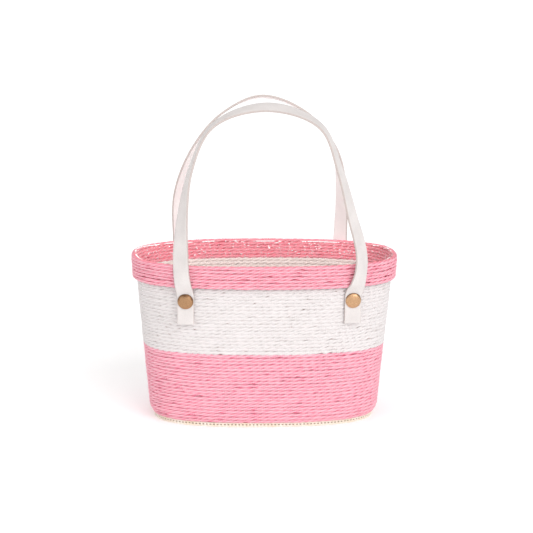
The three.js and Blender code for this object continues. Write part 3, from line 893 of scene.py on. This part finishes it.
def make_rivets(brass):
    """Four rivets: each a domed cap with its post, and the button that holds it from inside."""
    seat = STRAP_THICKNESS + 0.6 * MM  # of the cap, from the strap's inner face out
    inside = -(ROPE + 1.5 * MM)  # of the button, from the wall's outside to against the film
    for word, side in (("front", -1), ("rear", 1)):
        for hand, x in zip(("left", "right"), rivets_of(side)):
            place, normal = surface_at(wall_inset(RIVET_HEIGHT), x, side)
            seat_place, facing = seat_on_wall(RIVET_HEIGHT, x, side)
            outer_axis = Vector((facing.x, facing.y, -WALL_LEAN)).normalized()
            inner_axis = Vector((normal.x, normal.y, -WALL_LEAN)).normalized()
            # The front left cap carries the most tarnish and painted reflection.
            tarnish_and_reflection = MUCH_TARNISH_AND_REFLECTION if (word, hand) == ("front", "left") else LITTLE_TARNISH_AND_REFLECTION
            root = inside - 1.5 * MM - (FRONT_TAIL_LIFT if side < 0 else 0)
            outer = [(0, root), (POST_RADIUS, root), (POST_RADIUS, seat)]
            outer += dome(CAP_RADIUS, seat, CAP_EDGE, CAP_HEIGHT) + [(0, seat + CAP_HEIGHT)]
            origin = (seat_place.x, seat_place.y, RIVET_HEIGHT)
            cap = turned_piece(f"{word}_{hand}_rivet_cap", outer, origin, outer_axis, brass, tarnish_and_reflection)
            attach(cap, "basket")
            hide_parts(f"{word}_{hand}_rivet")
            inner = [(0, 0)] + dome(BUTTON_RADIUS, 0, BUTTON_EDGE, BUTTON_HEIGHT) + [(0, BUTTON_HEIGHT)]
            back = Vector((place.x, place.y, RIVET_HEIGHT)) + inner_axis * inside
            button = turned_piece(f"{word}_{hand}_rivet_inside", inner, back, -inner_axis, brass, tarnish_and_reflection)
            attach(button, "basket")
            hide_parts(f"{word}_{hand}_inner_cap")


# ------------------------------------------------------------------------------
# Liner

FILM_THICKNESS = 0.15 * MM
FILM_STEPS = 420
FILM_ROWS = 46
CURL_ROWS = 4  # the top edge curls in, and out over the rim at the two ends
FLOOR_ROWS = 14
LINER_FLOOR = low("liner").z
FILM_FLOOR = LINER_FLOOR + 0.3 * MM
CLEAR_OF_WALL = ROPE + 1.2 * MM  # from the wall's outside to the film


def film_wall():
    """Rings of the film from its floor to its top edge, in loose vertical waves."""
    rng = np.random.RandomState(5)
    share = np.arange(FILM_STEPS) / FILM_STEPS
    base_line, _, _ = oval_line(0, FILM_STEPS)
    end = np.abs(base_line[:, 0] / HALF_WIDTH) ** 5  # 1 at the two ends of the oval
    top = RIM_HEIGHT - 2.4 * MM + 2.6 * MM * end + 0.5 * MM * wander(share, 26, rng)
    broad = wander(share, 22, rng)
    fine = wander(share, 75, rng)
    rings = []
    for row in range(FILM_ROWS + 1):
        part = min(1.0, row / (FILM_ROWS - CURL_ROWS))
        curl = MM * max(0, row - (FILM_ROWS - CURL_ROWS))
        z = FILM_FLOOR + (top - LINER_FLOOR) * part + (0.25 - 0.25 * end) * curl
        loose = (0.25 + 0.75 * part ** 2) * (0.55 * MM * broad + 0.3 * MM * fine)
        inset = rim_inset(np.maximum(z, COIL_BOTTOM)) + CLEAR_OF_WALL + loose
        inset += (0.1 - 0.5 * end) * curl - 0.4 * MM * end * part ** 6
        x, y = oval_at(np.pi / 2 + 2 * np.pi * share, inset)
        rings.append(np.stack([x, y, z], axis=1))
    return rings


def make_liner(film):
    """A pouch of thin clear film inside the coil. Its top edge stands up to the rim at the two ends of the
    oval, and painted white flecks glint on the creases in the upper part."""
    wall = film_wall()
    floor = []
    for row in range(FLOOR_ROWS):
        part = (row + 1) / (FLOOR_ROWS + 1)
        ring = wall[0] * np.array([part, part, 1])
        ring[:, 2] = FILM_FLOOR
        floor.append(ring)
    points = np.concatenate(floor + wall + [[[0, 0, FILM_FLOOR]]])
    rows = len(floor) + len(wall)
    centre = len(points) - 1
    faces = grid_faces(rows, FILM_STEPS, False, True).tolist()
    faces += [[centre, k, (k + 1) % FILM_STEPS] for k in range(FILM_STEPS)]
    height_share = np.concatenate([np.zeros(FLOOR_ROWS), np.arange(FILM_ROWS + 1) / FILM_ROWS])
    edge = np.repeat(height_share > 1 - (CURL_ROWS - 0.5) / FILM_ROWS, FILM_STEPS)
    # Where the painted glint flecks may show: the film's upper part.
    painted_glint_mask = np.repeat(np.clip((height_share - 0.8) / 0.08, 0, 1), FILM_STEPS)
    attributes = {"edge": np.append(edge, 0.0), "painted_glint_mask": np.append(painted_glint_mask, 0.0)}
    liner = make_piece("film_liner", points, faces, [film], attributes)
    thicken = liner.modifiers.new("thickness", "SOLIDIFY")
    thicken.thickness = FILM_THICKNESS
    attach(liner, "basket")
    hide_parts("liner")


# ------------------------------------------------------------------------------
# Woven base

WEAVE_PITCH = 3.5 * MM
WEAVE_STEPS = 4  # stations from one upright cord to the next
WEAVE_SWING = 0.27 * MM  # how far a cord swings out and in as it passes over and under
WEAVE_SEAT = 0.35 * MM  # how far inside the edge the cords' middles lie
CORD_WIDTH = 1.9 * MM
CORD_HALF_HEIGHT = 0.8 * MM
CORD_HALF_THICK = 0.275 * MM
CORD_HEIGHTS = (0.95 * MM, BASE_EDGE - 0.85 * MM)  # of the two that run round
UPRIGHT_STATIONS = 9
UNDERSIDE_INSET = 0.9 * MM  # from the edge of the base to the edge of the cloth's sheet
UNDERSIDE_BOTTOM = 0.05 * MM
UNDERSIDE_TOP = 0.75 * MM
CROSSING_RISE = 0.22 * MM


def round_cord(line, normals, height, weave):
    """The points of a flat cord that runs round the base at a height, weaving out and in."""
    h, d = CORD_HALF_HEIGHT, CORD_HALF_THICK
    section = [(-h, -d), (-h * 0.9, d * 0.6), (0, d), (h * 0.9, d * 0.6), (h, -d), (0, -d)]
    ring = np.empty((len(line), len(section), 3))
    for k, (up, out) in enumerate(section):
        ring[:, k, :2] = line + normals * (weave + out - WEAVE_SEAT)[:, None]
        ring[:, k, 2] = height + up
    return ring


def upright_cord(centre, out, swing):
    """The points of a short upright cord that passes over one of the two cords and under the other."""
    w, d = CORD_WIDTH / 2, CORD_HALF_THICK
    section = [(-w, -d), (w, -d), (w * 0.85, d * 0.7), (0, d), (-w * 0.85, d * 0.7)]
    side = np.array([-out[1], out[0]])
    stations = np.linspace(0.15 * MM, BASE_EDGE - 0.1 * MM, UPRIGHT_STATIONS)
    middle = (CORD_HEIGHTS[0] + CORD_HEIGHTS[1]) / 2
    half_gap = (CORD_HEIGHTS[1] - CORD_HEIGHTS[0]) / 2
    wave = swing * np.sin(np.pi / 2 * (stations - middle) / half_gap)
    strip = np.empty((len(stations), len(section), 3))
    for k, (over, thick) in enumerate(section):
        strip[:, k, :2] = centre + side * over + out * (wave + thick - WEAVE_SEAT)[:, None]
        strip[:, k, 2] = stations
    return strip


def make_base_edge(paper):
    """The woven edge of the base: two flat cords run round it and short upright ones pass over and under
    them, with square holes between."""
    _, _, length = oval_line(BASE_INSET, 8)
    uprights = 2 * round(length / WEAVE_PITCH / 2)
    line, normals, _ = oval_line(BASE_INSET, uprights * WEAVE_STEPS)
    cell = np.arange(uprights * WEAVE_STEPS) / WEAVE_STEPS
    points, faces, count = [], [], 0
    for number, height in enumerate(CORD_HEIGHTS):
        ring = round_cord(line, normals, height, WEAVE_SWING * np.cos(np.pi * (cell + number)))
        rows, sides, _ = ring.shape
        points.append(ring.reshape(-1, 3))
        faces += (grid_faces(rows, sides, True, True) + count).tolist()
        count += rows * sides
    for upright in range(uprights):
        station = upright * WEAVE_STEPS
        strip = upright_cord(line[station], normals[station], WEAVE_SWING * np.cos(np.pi * upright))
        rows, sides, _ = strip.shape
        points.append(strip.reshape(-1, 3))
        faces += (grid_faces(rows, sides, False, True) + count).tolist()
        faces.append([count + k for k in range(sides)])
        count += rows * sides
        faces.append([count - 1 - k for k in range(sides)])
    edge = make_piece("base_weave_edge", np.concatenate(points), faces, [paper])
    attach(edge, "basket")
    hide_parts("base_cover")


def underside_points():
    """The crossings of the woven cloth under the board, by their column and row, every other pair of them
    raised. Those just outside the oval are drawn in to its edge."""
    spacing = WEAVE_PITCH / 2
    inset = BASE_INSET + UNDERSIDE_INSET
    half_x, half_y = HALF_WIDTH - inset, HALF_DEPTH - inset
    last_column, last_row = math.ceil(half_x / spacing), math.ceil(half_y / spacing)
    crossings = {}
    for column in range(-last_column, last_column + 1):
        for row in range(-last_row, last_row + 1):
            x, y = column * spacing, row * spacing
            size = (abs(x / half_x) ** OVAL_POWER + abs(y / half_y) ** OVAL_POWER) ** (1 / OVAL_POWER)
            if size > 1 + spacing / half_y:
                continue
            if size > 1:
                x, y = x / size, y / size
            raised = CROSSING_RISE if (column // 2 + row // 2) % 2 else 0.0
            crossings[column, row] = (x, y, UNDERSIDE_BOTTOM + raised)
    return crossings


def make_base_underside(paper):
    """The woven cloth under the board, as a closed sheet with its over and under crossings raised."""
    crossings = underside_points()
    number = {crossing: i for i, crossing in enumerate(crossings)}
    points = list(crossings.values())
    top = len(points)
    points += [(x, y, UNDERSIDE_TOP) for x, y, _ in points]
    faces, borders = [], []
    for i, j in number:
        corners = [number.get(c) for c in ((i, j), (i + 1, j), (i + 1, j + 1), (i, j + 1))]
        if None in corners:
            continue
        faces.append(corners[::-1])
        faces.append([c + top for c in corners])
        borders += zip(corners, corners[1:] + corners[:1])
    shared = set(borders)
    for a, b in borders:
        if (b, a) not in shared:
            faces.append([a, b, b + top, a + top])
    used = sorted({v for face in faces for v in face})
    renumbered = {old: new for new, old in enumerate(used)}
    faces = [[renumbered[v] for v in face] for face in faces]
    sheet = make_piece("base_weave_underside", [points[v] for v in used], faces, [paper])
    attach(sheet, "basket")


# ------------------------------------------------------------------------------
# Assembly


def make_floor():
    half = 30  # wide enough to fill the view from every side
    corners = [(-half, -half, 0), (half, -half, 0), (half, half, 0), (-half, half, 0)]
    floor = make_piece("floor", corners, [[0, 1, 2, 3]], [floor_material()], smooth=False)
    floor.location.z = -0.1 * MM  # just below what stands on it


def finish_node(name, material):
    """Gives a CAD node its material."""
    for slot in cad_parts[name].material_slots:
        slot.material = material


make_camera()
make_light()
make_floor()
# Each rope's colours run from crown to middle, to the painted shade of its crevices and of its partings,
# then the painted light on its inside, for red, green and blue.
pink_rope = rope_material(
    "pink_paper_rope",
    srgb(240, 182, 194), srgb(234, 144, 166), srgb(233, 104, 134), srgb(186, 68, 92),
    (1.15, 1.1, 1.08),
)
# A copy of the pink rope with darker crevices and partings: deeper painted shade on the rim band.
pink_band_deeper_shade = rope_material(
    "pink_paper_rope_band_deeper_shade",
    srgb(240, 180, 192), srgb(234, 138, 159), srgb(228, 92, 120), srgb(176, 54, 78),
    (1.15, 1.1, 1.08),
)
# A copy of the pink rope painted lighter and more saturated: painted light on the rim's inner layer.
pink_inside_painted_light = rope_material(
    "pink_paper_rope_inside_painted_light",
    srgb(252, 170, 180), srgb(250, 138, 154), srgb(246, 104, 128), srgb(206, 74, 94),
    (1.05, 1.04, 1.05),
)
white_rope = rope_material(
    "white_paper_rope",
    srgb(223, 218, 218), srgb(218, 212, 211), srgb(211, 203, 202), srgb(156, 132, 126),
    (1.4, 1.26, 1.19),
)
make_coils(pink_rope, white_rope, pink_inside_painted_light, pink_band_deeper_shade)
make_straps(strap_material(), strap_edge_material(), strap_backing_material())
make_rivets(brass_material())
make_liner(film_material())
cream_paper = woven_material()
make_base_edge(cream_paper)
make_base_underside(cream_paper)
finish_node("base_board", board_material())
finish_node("rim_wire", wire_material())
